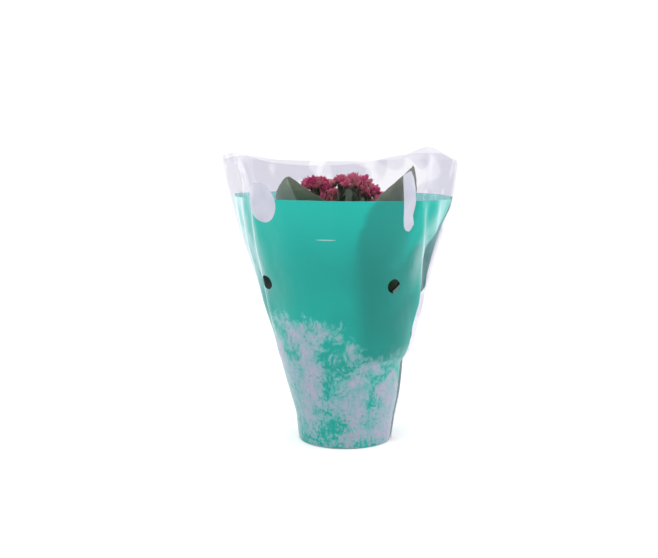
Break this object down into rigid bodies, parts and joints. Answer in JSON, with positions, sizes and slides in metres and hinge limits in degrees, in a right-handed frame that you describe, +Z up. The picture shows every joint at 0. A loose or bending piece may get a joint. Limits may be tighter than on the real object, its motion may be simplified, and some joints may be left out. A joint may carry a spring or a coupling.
{
  "type": "potted kalanchoe",
  "caption": "Kalanchoe with crimson-pink flower heads and scalloped leaves in a dark nursery pot, standing in a flared film sleeve with a teal printed band and a clear wavy top.",
  "frame": {"origin": "centre of the pot's underside, on the surface that the pot stands on", "axes": "+Z up along the pot's axis; the sleeve's front faces -Y; +X to the right as seen from the front"},
  "size_m": [0.2059, 0.166, 0.264],
  "materials": {
    "pot_plastic": "satin",
    "potting_soil": "matte",
    "stem_green": "satin",
    "leaf_green": "satin",
    "petal_pink": "satin",
    "printed_film": "gloss"
  },
  "bodies": {
    "root": {"pot": "pot_plastic", "soil": "potting_soil", "stem_1": "stem_green", "stem_2": "stem_green", "stem_3": "stem_green", "leaf_01": "leaf_green", "leaf_02": "leaf_green", "leaf_03": "leaf_green", "leaf_04": "leaf_green", "leaf_05": "leaf_green", "leaf_06": "leaf_green", "leaf_07": "leaf_green", "leaf_08": "leaf_green", "leaf_09": "leaf_green", "leaf_10": "leaf_green", "leaf_11": "leaf_green", "leaf_12": "leaf_green", "leaf_13": "leaf_green", "leaf_14": "leaf_green", "leaf_15": "leaf_green", "leaf_16": "leaf_green", "leaf_17": "leaf_green", "leaf_18": "leaf_green", "leaf_19": "leaf_green", "leaf_20": "leaf_green", "leaf_21": "leaf_green", "leaf_22": "leaf_green", "leaf_23": "leaf_green", "leaf_24": "leaf_green", "leaf_25": "leaf_green", "leaf_26": "leaf_green", "leaf_27": "leaf_green", "leaf_28": "leaf_green", "leaf_29": "leaf_green", "leaf_30": "leaf_green", "flower_head_1": "petal_pink", "flower_head_2": "petal_pink", "flower_head_3": "petal_pink", "flower_head_4": "petal_pink", "flower_head_5": "petal_pink", "flower_head_6": "petal_pink", "flower_head_7": "petal_pink", "sleeve": "printed_film"}
  },
  "joints": []
}
